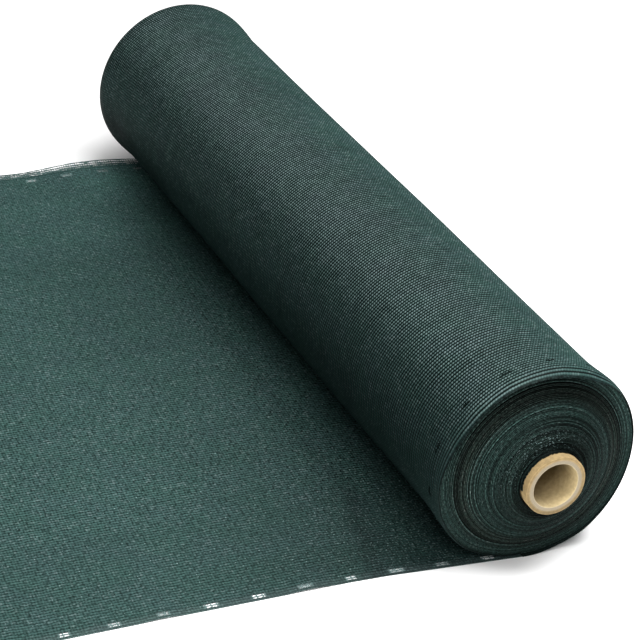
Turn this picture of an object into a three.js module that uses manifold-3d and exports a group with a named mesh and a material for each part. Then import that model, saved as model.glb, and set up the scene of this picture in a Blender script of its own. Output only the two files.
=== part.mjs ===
// A roll of knitted privacy screen netting on a cardboard core, its last length unrolled flat on the ground.
// Millimetres, +Z up. The roll lies along Y, the unrolled length runs towards -X, and the origin is the
// middle of the footprint, on the ground.
import * as THREE from "three";
import { mergeVertices } from "three/addons/utils/BufferGeometryUtils.js";
import Module from "manifold-3d";

const wasm = await Module();
wasm.setup();

// Driving sizes
const CLOTH_WIDTH = 1000; // selvedge to selvedge
const CLOTH_THICKNESS = 1.2;
const ROLL_RADIUS = 111;
const FLAT_SPOT_SINK = 0.6; // how far the roll's weight presses its underside flat
const CORE_OUTER_RADIUS = 33.5;
const CORE_BORE_RADIUS = 25;
const CORE_LENGTH = 1020;
const CORE_AHEAD = 43; // how far the core stands out past the netting's near selvedge
const LOOSE_LENGTH = 700; // from the roll's axis to the cut end
const GAP = 0.3; // between pieces that touch

// The roll's own make
const ROUND_STEPS = 72;
const RIM_ROUNDING = 3;
const RIM_STEPS = 3;
const SELVEDGE_ZONE = 55; // the thicker selvedges make the roll flare over this length
const FLARES = { near: 2.8, far: 3.4 };
// Sine of the angle round the roll, where its own weight holds it down
const PRESSED = { below: -0.985, clear: -0.78 };
const ROLL_STATIONS = 16;
const SWELLS = [
  { height: 0.7, waves: 3.2, lobes: 2, turn: 0.6 },
  { height: 0.45, waves: 7.5, lobes: 3, turn: 2.1 },
  { height: 0.3, waves: 12.5, lobes: 1, turn: 4.0 },
];
// The turns have slid along the core: how far each stands ahead of the outermost one, towards -Y
const SLIDE = [
  { radius: ROLL_RADIUS, ahead: 0 },
  { radius: 101, ahead: 1.5 },
  { radius: 93, ahead: 5 },
  { radius: 84, ahead: 10 },
  { radius: 75, ahead: 15 },
  { radius: 64, ahead: 21 },
  { radius: 53, ahead: 26.5 },
  { radius: 43, ahead: 30 },
  { radius: CORE_OUTER_RADIUS + GAP, ahead: 31.5 },
];

// The outermost turn's near selvedge stands ahead of its rim and leans in over the end face, mostly on top.
// Degrees round the roll, from its underside over its right and its top
const SHOULDER = [
  { degrees: -90, ahead: 0, lean: 0 },
  { degrees: 0, ahead: 2, lean: 1 },
  { degrees: 20, ahead: 3, lean: 1 },
  { degrees: 40, ahead: 7, lean: 2 },
  { degrees: 60, ahead: 12, lean: 6.3 },
  { degrees: 75, ahead: 14, lean: 6.7 },
  { degrees: 100, ahead: 14, lean: 5 },
  { degrees: 120, ahead: 14, lean: 3.1 },
  { degrees: 140, ahead: 14, lean: 3.1 },
  { degrees: 160, ahead: 12, lean: 2.8 },
  { degrees: 180, ahead: 8, lean: 1.4 },
  { degrees: 200, ahead: 5, lean: 1.6 },
  { degrees: 225, ahead: 3, lean: 1.2 },
  { degrees: 270, ahead: 0, lean: 0 },
];

// The unrolled length's own make
const LENGTH_STEPS = 44;
const WIDTH_STATIONS = [0, 0.012, 0.035, 0.07, 0.12, 0.2, 0.32, 0.5, 0.68, 0.8, 0.88, 0.93, 0.965, 0.988, 1];
// Where the two selvedges run: the cloth doesn't leave the roll quite square
const SELVEDGES = [
  { x: 0, near: -4, far: 1003 },
  { x: -50, near: -1, far: 1004 },
  { x: -100, near: 2, far: 1004.5 },
  { x: -150, near: 5, far: 1004 },
  { x: -190, near: 5.6, far: 1001 },
  { x: -230, near: 4.6, far: 998.5 },
  { x: -300, near: 3.4, far: 999 },
  { x: -400, near: 1.4, far: 1000 },
  { x: -500, near: -1.4, far: 999.5 },
  { x: -LOOSE_LENGTH, near: -2, far: 999 },
];
// Low ripples where a selvedge doesn't lie quite down: place along it, height, half length and reach inwards
const RIPPLES = [
  { edge: "near", x: -233, height: 1.8, half: 34, reach: 90 },
  { edge: "near", x: -392, height: 1.5, half: 28, reach: 70 },
  { edge: "near", x: -560, height: 2.4, half: 40, reach: 80 },
  { edge: "far", x: -120, height: 6.0, half: 110, reach: 75 },
  { edge: "far", x: -330, height: 2.0, half: 44, reach: 80 },
  { edge: "far", x: -545, height: 3.0, half: 38, reach: 90 },
];
// Buttonholes knitted in along both selvedges, in step with each other but not level. The near selvedge is
// curled under, so its row lies close to the edge that shows
const BUTTONHOLE = { length: 14, width: 6, pitch: 50.5 };
const BUTTONHOLE_ROWS = [
  { edge: "near", inset: 6.8, first: -87 },
  { edge: "far", inset: 26, first: -61.5 },
];

const AXIS_HEIGHT = ROLL_RADIUS - FLAT_SPOT_SINK;
// Where the roll's underside has risen clear of the cloth that it is unrolling
const CUSP_RISE = CLOTH_THICKNESS + GAP + FLAT_SPOT_SINK;
const CUSP_X = -Math.sqrt(2 * ROLL_RADIUS * CUSP_RISE - CUSP_RISE ** 2);

function between(rows, key, value, at) {
  // Value of a table at one place, straight between its rows, which run one way along key
  const falling = rows[0][key] > rows[rows.length - 1][key];
  const order = falling ? [...rows].reverse() : rows;
  const clamped = THREE.MathUtils.clamp(at, order[0][key], order[order.length - 1][key]);
  const next = Math.max(1, order.findIndex((row) => row[key] >= clamped));
  const [low, high] = [order[next - 1], order[next]];
  const share = (clamped - low[key]) / (high[key] - low[key]);
  return THREE.MathUtils.lerp(low[value], high[value], share);
}

function toSolid(geometry) {
  geometry.deleteAttribute("normal");
  geometry.deleteAttribute("uv");
  const merged = mergeVertices(geometry);
  const mesh = new wasm.Mesh({
    numProp: 3,
    vertProperties: new Float32Array(merged.attributes.position.array),
    triVerts: new Uint32Array(merged.index.array),
  });
  return new wasm.Manifold(mesh);
}

function toGeometry(solid) {
  const { vertProperties, triVerts } = solid.getMesh();
  const geometry = new THREE.BufferGeometry();
  geometry.setAttribute("position", new THREE.BufferAttribute(vertProperties, 3));
  geometry.setIndex(new THREE.BufferAttribute(triVerts, 1));
  geometry.computeVertexNormals();
  return geometry;
}

function rimCorner(y, inwards) {
  // A quarter round at one rim: from the end face to the side at the near end, the other way at the far end
  const steps = Array.from({ length: RIM_STEPS + 1 }, (_, i) => (i / RIM_STEPS) * (Math.PI / 2));
  const corner = steps.map((angle) => new THREE.Vector2(
    ROLL_RADIUS - RIM_ROUNDING + RIM_ROUNDING * Math.sin(angle),
    y + inwards * (RIM_ROUNDING - RIM_ROUNDING * Math.cos(angle)),
  ));
  return inwards > 0 ? corner : corner.reverse();
}

function rollProfile() {
  // Out along the near face, along the side, back in along the far face, and through the middle for the core
  const turns = SLIDE.filter((row) => row.radius < ROLL_RADIUS - RIM_ROUNDING);
  const nearFace = [...turns].reverse().map((row) => new THREE.Vector2(row.radius, -row.ahead));
  const side = Array.from({ length: ROLL_STATIONS - 1 }, (_, i) => {
    const eased = 0.5 - 0.5 * Math.cos((Math.PI * (i + 1)) / ROLL_STATIONS);
    return new THREE.Vector2(ROLL_RADIUS, THREE.MathUtils.lerp(RIM_ROUNDING, CLOTH_WIDTH - RIM_ROUNDING, eased));
  });
  const farFace = turns.map((row) => new THREE.Vector2(row.radius, CLOTH_WIDTH - row.ahead));
  const profile = [...nearFace, ...rimCorner(0, 1), ...side, ...rimCorner(CLOTH_WIDTH, -1), ...farFace];
  return [...profile, profile[0].clone()];
}

function flareAt(y) {
  const near = 1 - THREE.MathUtils.smoothstep(y, 0, SELVEDGE_ZONE);
  const far = THREE.MathUtils.smoothstep(y, CLOTH_WIDTH - SELVEDGE_ZONE, CLOTH_WIDTH);
  return FLARES.near * near + FLARES.far * far;
}

function swellAt(y, angle) {
  const along = (2 * Math.PI * y) / CLOTH_WIDTH;
  return SWELLS.reduce(
    (sum, { height, waves, lobes, turn }) =>
      sum + height * Math.sin((waves * along) / 2 + turn) * Math.cos(lobes * angle + turn),
    0,
  );
}

function shoulderAt(radius, y, angle) {
  // Only the near rim's own corner moves
  const rim = radius > ROLL_RADIUS - RIM_ROUNDING - GAP && y < RIM_ROUNDING + GAP;
  const turned = THREE.MathUtils.radToDeg(angle);
  const degrees = turned < SHOULDER[0].degrees ? turned + 360 : turned;
  return {
    ahead: rim ? between(SHOULDER, "degrees", "ahead", degrees) : 0,
    lean: rim ? between(SHOULDER, "degrees", "lean", degrees) : 0,
  };
}

function woundRoll() {
  const winding = new THREE.LatheGeometry(rollProfile(), ROUND_STEPS);
  winding.deleteAttribute("normal");
  winding.deleteAttribute("uv");
  const geometry = mergeVertices(winding);
  const places = geometry.attributes.position;
  const place = new THREE.Vector3();
  for (let i = 0; i < places.count; i += 1) {
    place.fromBufferAttribute(places, i);
    const radius = Math.hypot(place.x, place.z);
    const angle = Math.atan2(place.z, place.x);
    // Flare and swells belong to the outer turns, and fade where the roll's own weight holds them down
    const outer = THREE.MathUtils.smoothstep(radius, ROLL_RADIUS * 0.75, ROLL_RADIUS);
    const free = THREE.MathUtils.smoothstep(Math.sin(angle), PRESSED.below, PRESSED.clear);
    const shoulder = shoulderAt(radius, place.y, angle);
    const grown = radius + outer * free * (flareAt(place.y) + swellAt(place.y, angle)) - shoulder.lean;
    const height = AXIS_HEIGHT + grown * Math.sin(angle);
    places.setXYZ(i, grown * Math.cos(angle), place.y - shoulder.ahead, Math.max(0, height));
  }
  // The bed of cloth under the roll, out to where the unrolled length takes over
  const bed = new THREE.BoxGeometry(-CUSP_X, CLOTH_WIDTH - 2 * RIM_ROUNDING, CUSP_RISE);
  bed.translate(CUSP_X / 2, CLOTH_WIDTH / 2, CUSP_RISE / 2);
  return toGeometry(toSolid(geometry).add(toSolid(bed)));
}

function selvedgeAt(edge, x) {
  return between(SELVEDGES, "x", edge, x);
}

function looseEndHeight(x, y) {
  return RIPPLES.reduce((sum, { edge, x: middle, height, half, reach }) => {
    const inwards = Math.abs(y - selvedgeAt(edge, x));
    const along = Math.max(0, 1 - ((x - middle) / half) ** 2) ** 2;
    const fade = Math.max(0, 1 - inwards / reach) ** 2;
    return sum + height * along * fade;
  }, 0);
}

function looseEndPoint(lengthShare, widthShare, top) {
  const x = THREE.MathUtils.lerp(CUSP_X - GAP, -LOOSE_LENGTH, lengthShare);
  const y = THREE.MathUtils.lerp(selvedgeAt("near", x), selvedgeAt("far", x), widthShare);
  return [x, y, looseEndHeight(x, y) + (top ? CLOTH_THICKNESS : 0)];
}

function looseEnd() {
  // Two skins on one grid, closed round their rim
  const across = WIDTH_STATIONS.length;
  const rows = LENGTH_STEPS + 1;
  const corner = (i, j, top) => (top ? rows * across : 0) + i * across + j;
  const points = [];
  for (const top of [false, true]) {
    for (let i = 0; i < rows; i += 1) {
      for (const share of WIDTH_STATIONS) points.push(...looseEndPoint(i / LENGTH_STEPS, share, top));
    }
  }
  const faces = [];
  const quad = (a, b, c, d) => faces.push(a, b, c, a, c, d);
  for (let i = 0; i < LENGTH_STEPS; i += 1) {
    for (let j = 0; j < across - 1; j += 1) {
      const at = (di, dj, top) => corner(i + di, j + dj, top);
      quad(at(0, 0, true), at(0, 1, true), at(1, 1, true), at(1, 0, true));
      quad(at(0, 0, false), at(1, 0, false), at(1, 1, false), at(0, 1, false));
    }
    quad(corner(i, 0, false), corner(i, 0, true), corner(i + 1, 0, true), corner(i + 1, 0, false));
    const last = across - 1;
    const [low, high] = [corner(i, last, false), corner(i, last, true)];
    quad(low, corner(i + 1, last, false), corner(i + 1, last, true), high);
  }
  for (let j = 0; j < across - 1; j += 1) {
    quad(corner(0, j, false), corner(0, j + 1, false), corner(0, j + 1, true), corner(0, j, true));
    const end = LENGTH_STEPS;
    quad(corner(end, j, false), corner(end, j, true), corner(end, j + 1, true), corner(end, j + 1, false));
  }
  const geometry = new THREE.BufferGeometry();
  geometry.setAttribute("position", new THREE.BufferAttribute(new Float32Array(points), 3));
  geometry.setIndex(faces);
  return buttonholes().reduce((cloth, hole) => cloth.subtract(toSolid(hole)), toSolid(geometry));
}

function buttonholes() {
  return BUTTONHOLE_ROWS.flatMap(({ edge, inset, first }) => {
    const count = Math.floor((LOOSE_LENGTH - BUTTONHOLE.length + first) / BUTTONHOLE.pitch) + 1;
    return Array.from({ length: count }, (_, i) => {
      const x = first - i * BUTTONHOLE.pitch;
      const y = selvedgeAt(edge, x) + (edge === "near" ? inset : -inset);
      const hole = new THREE.BoxGeometry(BUTTONHOLE.length, BUTTONHOLE.width, 6 * CLOTH_THICKNESS);
      return hole.translate(x, y, looseEndHeight(x, y) + CLOTH_THICKNESS / 2);
    });
  });
}

function coreTube() {
  const ring = new THREE.Shape();
  ring.absarc(0, 0, CORE_OUTER_RADIUS, 0, 2 * Math.PI, false);
  const bore = new THREE.Path();
  bore.absarc(0, 0, CORE_BORE_RADIUS, 0, 2 * Math.PI, true);
  ring.holes.push(bore);
  const tube = new THREE.ExtrudeGeometry(ring, {
    depth: CORE_LENGTH,
    bevelEnabled: false,
    curveSegments: ROUND_STEPS,
  });
  tube.rotateX(-Math.PI / 2);
  tube.translate(0, -CORE_AHEAD, AXIS_HEIGHT);
  return toGeometry(toSolid(tube));
}

const netting = new THREE.MeshStandardMaterial({ color: 0x3c5552, roughness: 0.62, metalness: 0 });
const cardboard = new THREE.MeshStandardMaterial({ color: 0xc9b183, roughness: 0.85, metalness: 0 });

function piece(name, geometry, material) {
  const mesh = new THREE.Mesh(geometry, material);
  mesh.name = name;
  return mesh;
}

const roll = new THREE.Group();
roll.add(
  piece("wound_roll", woundRoll(), netting),
  piece("loose_end", toGeometry(looseEnd()), netting),
  piece("core_tube", coreTube(), cardboard),
);
const footprint = new THREE.Box3().setFromObject(roll);
const middle = footprint.getCenter(new THREE.Vector3());
roll.position.set(-middle.x, -middle.y, -footprint.min.z);

export default roll;
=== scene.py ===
"""Looks of a roll of knitted privacy screen netting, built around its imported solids.

Metres, +Z up, in the solids' own frame. The roll lies along Y, and its unrolled length runs towards -X.
Shapes are worked out with the roll's axis above x = 0, its near rim at y = 0 and the ground at z = 0, and
are then put where the solids are.
"""

import math

import bpy
import numpy as np
from bpy.props import FloatProperty, FloatVectorProperty, PointerProperty
from mathutils import Matrix, Vector


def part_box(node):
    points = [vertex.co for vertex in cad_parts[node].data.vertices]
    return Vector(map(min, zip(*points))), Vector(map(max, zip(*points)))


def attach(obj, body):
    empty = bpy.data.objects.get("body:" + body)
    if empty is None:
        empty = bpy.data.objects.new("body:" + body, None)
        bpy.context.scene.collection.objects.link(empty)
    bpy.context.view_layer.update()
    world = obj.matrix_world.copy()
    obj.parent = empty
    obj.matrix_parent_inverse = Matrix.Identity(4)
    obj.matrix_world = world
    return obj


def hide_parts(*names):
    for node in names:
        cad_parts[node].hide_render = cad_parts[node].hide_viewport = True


bl_info = {
    "name": "Privacy screen netting roll",
    "version": (1, 0, 0),
    "blender": (4, 5, 0),
    "location": "View3D > Sidebar > Netting",
    "description": "Builds a roll of knitted netting, its core and a small stage",
    "category": "Object",
}

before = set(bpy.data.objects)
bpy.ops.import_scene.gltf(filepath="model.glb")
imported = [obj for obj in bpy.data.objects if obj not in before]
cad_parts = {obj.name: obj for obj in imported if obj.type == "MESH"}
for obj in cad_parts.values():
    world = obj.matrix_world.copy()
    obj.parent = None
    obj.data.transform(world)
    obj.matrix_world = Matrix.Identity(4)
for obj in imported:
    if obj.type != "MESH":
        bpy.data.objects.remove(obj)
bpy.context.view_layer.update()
CORE_LOW, CORE_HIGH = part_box("core_tube")
MM = 0.001

# The core, and the roll's place by it
CORE_AHEAD = 43 * MM  # how far the core stands out past the netting's near rim
AXIS_X = (CORE_LOW.x + CORE_HIGH.x) / 2
AXIS_Z = (CORE_LOW.z + CORE_HIGH.z) / 2
ROLL_PLACE = np.array([AXIS_X, CORE_LOW.y + CORE_AHEAD, 0])
CORE_RADIUS = (CORE_HIGH.x - CORE_LOW.x) / 2
CORE_SOFT = 0.5 * MM  # rounding of the core's corners
MOUTH = 20 * MM  # how deep the core's near mouth is worn
PLY = 1.25 * MM  # one layer of the core's cardboard

# How the roll is wound, as in the solids
WIDTH = 1.0  # of the cloth, selvedge to selvedge
SELVEDGE_ZONE = 55 * MM  # over which the rims flare
FLARE_NEAR, FLARE_FAR = 2.8 * MM, 3.4 * MM
PRESSED_BELOW, PRESSED_CLEAR = -0.985, -0.78  # sine of the angle round the roll
SWELLS = (  # height, half waves along the roll, lobes round it, turn
    (0.7 * MM, 3.2, 2, 0.6),
    (0.45 * MM, 7.5, 3, 2.1),
    (0.3 * MM, 12.5, 1, 4.0),
)
SLIDE_RADIUS = np.array([33.8, 43, 53, 64, 75, 84, 93, 101, 111]) * MM
SLIDE_AHEAD = np.array([31.5, 30, 26.5, 21, 15, 10, 5, 1.5, 0]) * MM
FIRST_END = 63.772  # turns from the roll's outside to the cloth's first end

# The outermost turn's near selvedge stands ahead of the rim, and leans in over the end face
SHOULDER_DEGREES = np.array([-90, 0, 20, 40, 60, 75, 100, 120, 140, 160, 180, 200, 225, 270])
SHOULDER_AHEAD = np.array([0, 2, 3, 7, 12, 14, 14, 14, 14, 12, 8, 5, 3, 0]) * MM
SHOULDER_LEAN = np.array([0, 1, 1, 2, 6.3, 6.7, 5, 3.1, 3.1, 2.8, 1.4, 1.6, 1.2, 0]) * MM
SELVEDGE_AHEAD = 14 * MM  # how much of the selvedge stands ahead of the rim, where it isn't turned in
LEAST_AHEAD = 0.3 * MM
LEAN_POWER = 1.7
STAND_OFF, STAND_OFF_REACH = 0.7 * MM, 22 * MM  # of the outermost turn's edge, where it has loosened

# Where the two selvedges of the unrolled length run, from the cut end to the roll's axis
EDGE_X = np.array([-700, -500, -400, -300, -230, -190, -150, -100, -50, 0]) * MM
EDGE_NEAR = np.array([-2, -1.4, 1.4, 3.4, 4.6, 5.6, 5, 2, -1, -4]) * MM
EDGE_FAR = np.array([999, 999.5, 1000, 999, 998.5, 1001, 1004, 1004.5, 1004, 1003]) * MM
RIPPLES = (  # its edge, then in mm: place along it, height, half length, reach inwards
    (EDGE_NEAR, -233, 1.8, 34, 90),
    (EDGE_NEAR, -392, 1.5, 28, 70),
    (EDGE_NEAR, -560, 2.4, 40, 80),
    (EDGE_FAR, -120, 6.0, 110, 75),
    (EDGE_FAR, -330, 2.0, 44, 80),
    (EDGE_FAR, -545, 3.0, 38, 90),
)
CURL_LOOSE = 19.2 * MM  # how much of the near selvedge is curled under

# The cloth's section
CLOTH_SHARE = 0.9  # of a turn's room, the rest is air
EDGE_ROUNDING = 0.6 * MM
ROUNDED = np.array([0.36, 0.1])  # depths of a rounded edge's two points, in shares of the thickness
EDGE_FADE = 20 * MM  # over which the ribs rise, and the fold thickens
RIB_RELIEF = 0.85 * MM  # from the hollow between two pillars to their crests
OUTER_STATIONS, INNER_STATIONS = 94, 120  # places round a turn

# Knit: rows of buttonholes run along both selvedges
LAID_PITCH = 3.18 * MM  # between the bars on the unrolled length, which has drawn in a little
BAR_SLANT, BEAD_SLANT = -0.09, 0.36  # rows that the bars and the beads climb from pillar to pillar
KNIT_MIDDLE = 0.45  # the height that a crisper or softer knit keeps
SEAM_PITCH = 2.3 * MM  # between the very edge's lines of stitches
OPEN_ROW_PITCH = 4.8 * MM  # between the open rows of the far selvedge
BUTTONHOLE_PITCH = 50.5 * MM
BUTTONHOLE_HALF = 7.4 * MM
THREAD_PITCH = 6.1 * MM  # between the threads across a buttonhole
SLOT_LOOSE, SLOT_WOUND = 2.8 * MM, 2.0 * MM  # a buttonhole's half width, on the sheet and on the roll
SLOT_SHUT = 0.5 * MM  # the same in the roll's far row, which the winding has drawn shut
ROW_INSET = 26 * MM  # across the flat cloth, from a selvedge to its row
NEAR_FIRST, FAR_FIRST = 613 * MM, 638.5 * MM  # along the cloth, from its cut end
LAP_SLIP = 26 * MM  # along the cloth, between the sheet's buttonholes and the roll's

# End face of the wound turns: share of the roll's radius, how light the cloth is there (its tone, with
# painted light near the rim), how brown
END_TONES = (
    (0.3, 0.2, 0.2),
    (0.36, 0.2, 0.2),
    (0.42, 0.24, 0.25),
    (0.46, 0.36, 0.2),
    (0.52, 0.54, 0.05),
    (0.6, 0.56, 0),
    (0.63, 0.68, 0),
    (0.66, 0.56, 0),
    (0.7, 0.42, 0.1),
    (0.76, 0.38, 0.9),
    (0.82, 0.42, 0.8),
    (0.88, 0.78, 0.1),
    (0.94, 0.95, 0.05),
    (0.975, 0.95, 0),
    (0.99, 0.8, 0),
    (1, 0.6, 0),
)
TONE_SHARE, TONE_LIGHT, TONE_BROWN = np.array(END_TONES).T
UNDER_EDGE_SHADE = 0.2  # painted shade on the outermost turn's edge, and on its underside over its near half

# Stage, where the camera's place is measured from the roll's
FLOOR_REACH, FLOOR_BELOW = 15.0, 0.2 * MM
WORLD_LIGHT = 0.065
LIGHTS = (  # name, place, what it faces, width, power
    ("overhead", (0.65, -0.45, 2.4), (0.2, -0.1, 0), 1.8, 138),
    ("front_fill", (-0.7, -2.7, 2.2), (0.3, -0.4, 0.1), 1.8, 72),
)
CAMERA_PLACE = Vector((-1.09705, -1.64663, 1.29611))
CAMERA_YAW, CAMERA_PITCH, CAMERA_ROLL = (math.radians(a) for a in (26.9806, 28.0681, 5.9453))
LENS_PER_WIDTH = 2275.385 / 640
SENSOR_WIDTH = 36


class NettingSizes(bpy.types.PropertyGroup):
    """Sizes of the netting and its core."""

    turn: FloatProperty(
        name="Turn", description="Room that one turn takes on the roll", default=1.2 * MM, unit="LENGTH"
    )
    roll_radius: FloatProperty(
        name="Roll radius", description="Outside of the wound netting", default=111 * MM, unit="LENGTH"
    )
    loose_length: FloatProperty(
        name="Loose length", description="From the roll's axis to the cut end", default=0.7, unit="LENGTH"
    )
    bore_radius: FloatProperty(
        name="Bore radius", description="Inside of the core", default=25 * MM, unit="LENGTH"
    )
    wale_pitch: FloatProperty(
        name="Pillar pitch", description="From one pillar to the next", default=4.07 * MM, unit="LENGTH"
    )
    course_pitch: FloatProperty(
        name="Row pitch", description="From one row to the next", default=3.27 * MM, unit="LENGTH"
    )


class NettingColours(bpy.types.PropertyGroup):
    """Colours of the yarn, the core and the floor."""

    yarn: FloatVectorProperty(
        name="Yarn", description="Crests of the knit", subtype="COLOR", default=(0.02, 0.0425, 0.0393)
    )
    hollow: FloatVectorProperty(
        name="Hollow", description="Between the yarns", subtype="COLOR", default=(0.0006, 0.0012, 0.0011)
    )
    hollow_over_floor: FloatVectorProperty(
        name="Hollow over the floor",
        description="Between the yarns, lit by the floor",
        subtype="COLOR",
        default=(0.006, 0.015, 0.0135),
    )
    glint: FloatVectorProperty(
        name="Glint", description="Loops that catch the light", subtype="COLOR", default=(0.05, 0.073, 0.0715)
    )
    kraft: FloatVectorProperty(
        name="Kraft", description="Side of the core", subtype="COLOR", default=(0.34, 0.237, 0.104)
    )
    board: FloatVectorProperty(
        name="Board", description="Cut end of the core", subtype="COLOR", default=(0.36, 0.3, 0.205)
    )
    bore: FloatVectorProperty(
        name="Bore", description="Inside the core's mouth", subtype="COLOR", default=(0.47, 0.375, 0.205)
    )
    bore_shade: FloatVectorProperty(
        name="Bore's shade", description="Deep in the core", subtype="COLOR", default=(0.115, 0.078, 0.028)
    )
    floor: FloatVectorProperty(
        name="Floor", description="Floor under the roll", subtype="COLOR", default=(0.88, 0.88, 0.88)
    )


# Shapes


def smooth(value, low, high):
    """Smoothstep: 0 up to low, 1 from high on, and 3t^2 - 2t^3 of the share t between them."""
    share = np.clip((value - low) / (high - low), 0, 1)
    return share * share * (3 - 2 * share)


def bell(value, middle, width):
    """exp(-t^2) of the distance from the middle, in widths."""
    return np.exp(-(((value - middle) / width) ** 2))


def wander(at, step, seed):
    """Smooth random curve from -1 to 1: knots a step apart, joined by smoothstep."""
    knots = np.random.default_rng(seed).uniform(-1, 1, int(np.max(at) / step) + 3)
    place = at / step
    low = np.floor(place).astype(int)
    share = smooth(place - low, 0, 1)
    return knots[low] * (1 - share) + knots[low + 1] * share


def rise(y, angle):
    """Height of the roll's surface over its plain radius.

    Flares towards both rims, plus the sum of height * sin(half waves * pi * y / width + turn) *
    cos(lobes * angle + turn), all faded out where the roll presses on the ground.
    """
    flare = FLARE_NEAR * (1 - smooth(y, 0, SELVEDGE_ZONE))
    flare = flare + FLARE_FAR * smooth(y, WIDTH - SELVEDGE_ZONE, WIDTH)
    swell = sum(
        height * np.sin(waves * math.pi * y / WIDTH + turn) * np.cos(lobes * angle + turn)
        for height, waves, lobes, turn in SWELLS
    )
    return smooth(np.sin(angle), PRESSED_BELOW, PRESSED_CLEAR) * (flare + swell)


def ripple(x, y):
    """Height of the unrolled length over the ground: humps (1 - t^2)^2 along an edge, faded inwards."""
    height = np.zeros(np.broadcast(x, y).shape)
    for edge, *sizes in RIPPLES:
        middle, top, half, reach = (size * MM for size in sizes)
        off = np.abs(y - np.interp(x, EDGE_X, edge))
        along = np.maximum(0, 1 - ((x - middle) / half) ** 2) ** 2
        height += top * along * np.maximum(0, 1 - off / reach) ** 2
    return height


def ribbed_section(curl, pitch):
    """Section through knitted cloth: places across it, shares of its thickness, heights of its ribs.

    The skin that shows has four points to a pillar, at relief * ((1 + cos(2 pi place / pitch)) / 2 - 3 / 4),
    less by the selvedges. The other skin is plain. Places are metres from the cloth's own near selvedge, of
    which the first curl metres are curled under.
    """
    quarter = pitch / 4
    first = math.ceil((curl + EDGE_ROUNDING) / quarter)
    last = int((WIDTH - EDGE_ROUNDING) / quarter)
    ribs = quarter * np.arange(first, last + 1)
    plain = np.linspace(curl + EDGE_ROUNDING, WIDTH - EDGE_ROUNDING, 60)
    near, far = (curl, curl + EDGE_ROUNDING / 4), (WIDTH - EDGE_ROUNDING / 4, WIDTH)
    across = np.concatenate([near, ribs, far, far[::-1], plain[::-1], near[::-1]])
    shown_skin = [ROUNDED, 0 * ribs, ROUNDED[::-1]]
    back_skin = [1 - ROUNDED, 1 + 0 * plain, 1 - ROUNDED[::-1]]
    quiet = smooth(np.minimum(ribs - curl, WIDTH - ribs), 0, EDGE_FADE)
    height = 0.5 * (1 + np.cos(math.tau * ribs / pitch)) - 0.75
    crests = RIB_RELIEF * (0.35 + 0.65 * quiet) * height
    relief = np.concatenate([[0, 0], crests, np.zeros(len(plain) + 6)])
    return across, np.concatenate(shown_skin + back_skin), relief


def loose_cloth(sizes):
    """The unrolled length: its section carried straight from under the roll to the cut end.

    It is half as thick at the fold along its near edge. Gives points, cloth places and depths.
    """
    across, depth, relief = ribbed_section(CURL_LOOSE, sizes.wale_pitch)
    inset = (across - CURL_LOOSE) / (WIDTH - CURL_LOOSE)
    beside_roll = np.linspace(0, -0.17, 35)
    beyond = np.linspace(-0.18, -sizes.loose_length, 61)
    x = np.concatenate([beside_roll, beyond])[:, None]
    near, far = np.interp(x, EDGE_X, EDGE_NEAR), np.interp(x, EDGE_X, EDGE_FAR)
    y = near + (far - near) * inset
    thin = 1 - 0.5 * (1 - smooth(across, CURL_LOOSE, CURL_LOOSE + EDGE_FADE))
    z = ripple(x, y) + CLOTH_SHARE * sizes.turn * thin * (1 - depth) + relief
    points = np.stack([x + 0 * y, y, z], axis=-1)
    uv = np.stack([sizes.loose_length + x + 0 * y, across + 0 * y], axis=-1)
    return points, uv, depth + 0 * y


def outer_turn(sizes):
    """The outermost turn: its section carried once round the roll, while the radius falls by one turn.

    The turn starts under the axis, on the ground, and ends on top of the unrolled length. Its near selvedge
    is pushed ahead by its share of the shoulder's table, and leans in by the 1.7th power of that share.
    """
    across, depth, relief = ribbed_section(0, sizes.wale_pitch)
    selvedge = np.clip(1 - across / SELVEDGE_AHEAD, 0, 1)
    inset = np.maximum(across - SELVEDGE_AHEAD, 0) / (WIDTH - SELVEDGE_AHEAD)
    swing = np.linspace(0, math.tau, OUTER_STATIONS)[:, None]
    angle = swing - math.pi / 2
    ahead = np.interp(np.degrees(angle), SHOULDER_DEGREES, SHOULDER_AHEAD)
    lean = np.interp(np.degrees(angle), SHOULDER_DEGREES, SHOULDER_LEAN)
    settle = 1 - smooth(swing, 0, math.pi / 2)
    y = WIDTH * inset + settle * (EDGE_NEAR[-1] + (EDGE_FAR[-1] - WIDTH - EDGE_NEAR[-1]) * inset)
    y = y - selvedge * (ahead + LEAST_AHEAD)
    thickness = CLOTH_SHARE * sizes.turn * depth
    relief = relief * (1 - np.where(selvedge > 0, 1 - ahead / SELVEDGE_AHEAD, 0))
    loosened = smooth(np.sin(angle + 0.35), 0.2, 0.8) * (1 - smooth(y, 0, STAND_OFF_REACH))
    out = sizes.roll_radius - sizes.turn * swing / math.tau + rise(np.maximum(y, 0), angle)
    out = out + STAND_OFF * loosened - thickness + relief - lean * selvedge**LEAN_POWER
    # The turn's second half ends on the unrolled length
    bed = np.where(swing > math.pi, sizes.turn * 0.97, 0)
    z = np.maximum(AXIS_Z + out * np.sin(angle), bed + thickness)
    points = np.stack([out * np.cos(angle), y, z], axis=-1)
    along = sizes.loose_length + LAP_SLIP + sizes.roll_radius * swing
    uv = np.stack([along + 0 * y, across + 0 * y], axis=-1)
    return points, uv, depth + 0 * y


def turn_edges(wound, across, ahead):
    """Where the inner turns' points lie along the roll.

    Each turn stands ahead of the one outside it, and its edges wander a little, alone and in groups. The
    innermost turn's near selvedge has frayed, and stands further out.
    """
    loosened = smooth(wound, 2, 14)
    edge = 0.2 * wander(wound, 0.283, 5) + 0.4 * wander(wound, 1.13, 6) + 0.7 * wander(wound, 4.3, 7)
    edge = edge * (0.4 + 0.6 * loosened)
    last = smooth(wound, FIRST_END - 1.6, FIRST_END - 0.2)
    frayed = (4.6 + 0.7 * np.random.default_rng(8).uniform(-1, 1, wound.shape)) * last * (across < 0.03)
    return across - ahead + (edge - frayed) * MM


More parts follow.
